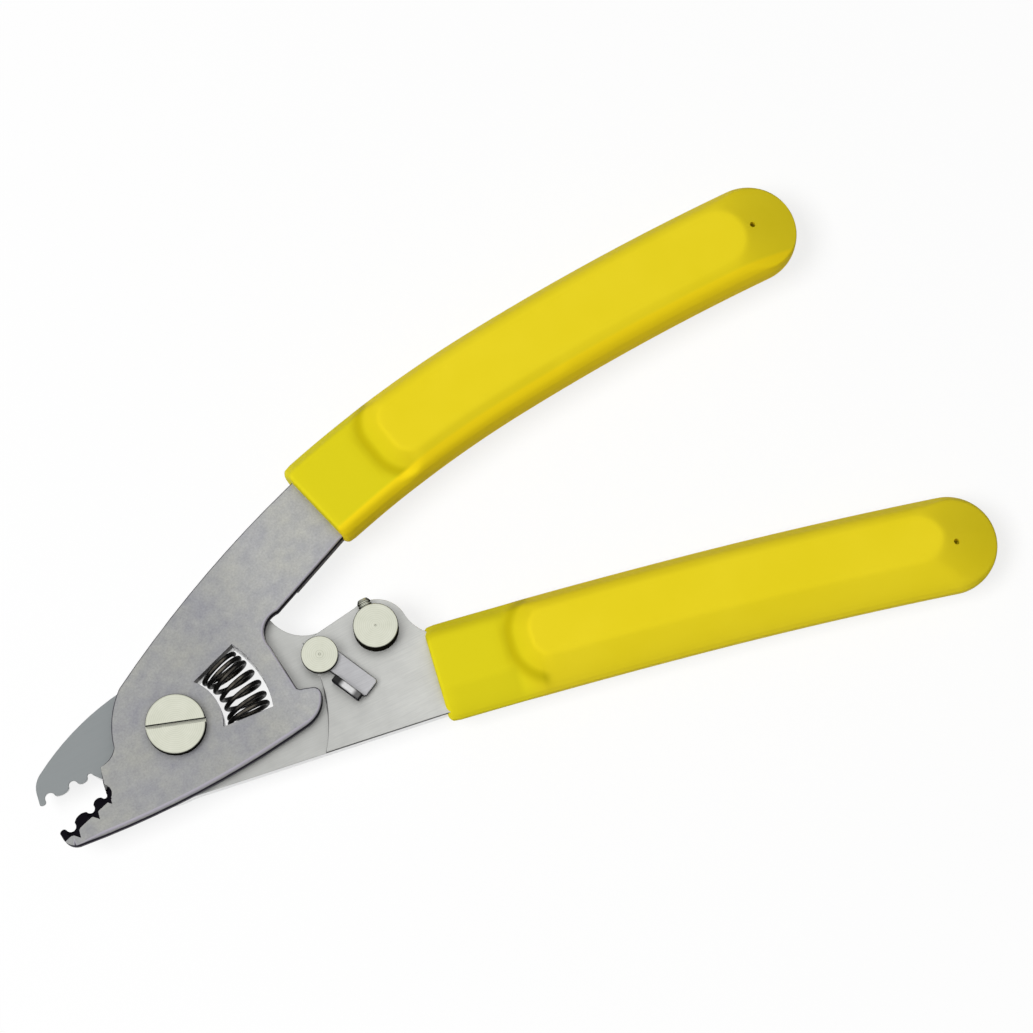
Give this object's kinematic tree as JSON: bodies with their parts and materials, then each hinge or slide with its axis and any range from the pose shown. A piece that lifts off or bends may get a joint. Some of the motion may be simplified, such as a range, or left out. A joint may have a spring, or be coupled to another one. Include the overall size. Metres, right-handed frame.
{
  "type": "three-hole cable stripper",
  "caption": "Plier-type cable and fibre stripper with lapped steel levers, notched bypass jaws, a coil return spring, a swinging lock latch, a set-screw stop and dipped grips.",
  "frame": {"origin": "on the pivot axis, in the plane of the pivot screw's end on which the tool lies", "axes": "+X along the bisector of the open handles, away from the jaws; +Z along the pivot, towards the screw head"},
  "size_m": [0.1383, 0.0674, 0.0128],
  "materials": {
    "tumbled_steel": "tumbled, mottled satin",
    "ground_steel": "fine ground satin",
    "nickel_steel": "turned, nickel plated",
    "spring_steel": "black oxide",
    "yellow_vinyl": "smooth dipped vinyl"
  },
  "bodies": {
    "rear": {"rear_lever": "ground_steel", "rear_grip": "yellow_vinyl", "pivot_screw": "nickel_steel", "pivot_nut": "nickel_steel", "stop_post": "nickel_steel", "stop_screw": "nickel_steel", "latch_rivet": "nickel_steel", "latch_washer": "spring_steel", "return_spring": "spring_steel"},
    "front": {"front_lever": "tumbled_steel", "front_grip": "yellow_vinyl"},
    "latch": {"lock_latch": "ground_steel"}
  },
  "joints": [
    {"name": "jaw_pivot", "type": "hinge", "parent": "rear", "child": "front", "pos_m": [0, 0, 0], "axis": [0, 0, -1], "range_deg": [0, 14.5], "stiffness_Nm_per_rad": 0.22, "deforming": ["return_spring"]},
    {"name": "latch_swing", "type": "hinge", "parent": "rear", "child": "latch", "pos_m": [0.0223, 0.0002, 0], "axis": [0, 0, -1], "range_deg": [0, 50]}
  ],
  "couplings": [
    {"joint": "latch_swing", "follows": "jaw_pivot", "ratio": 3.448}
  ]
}
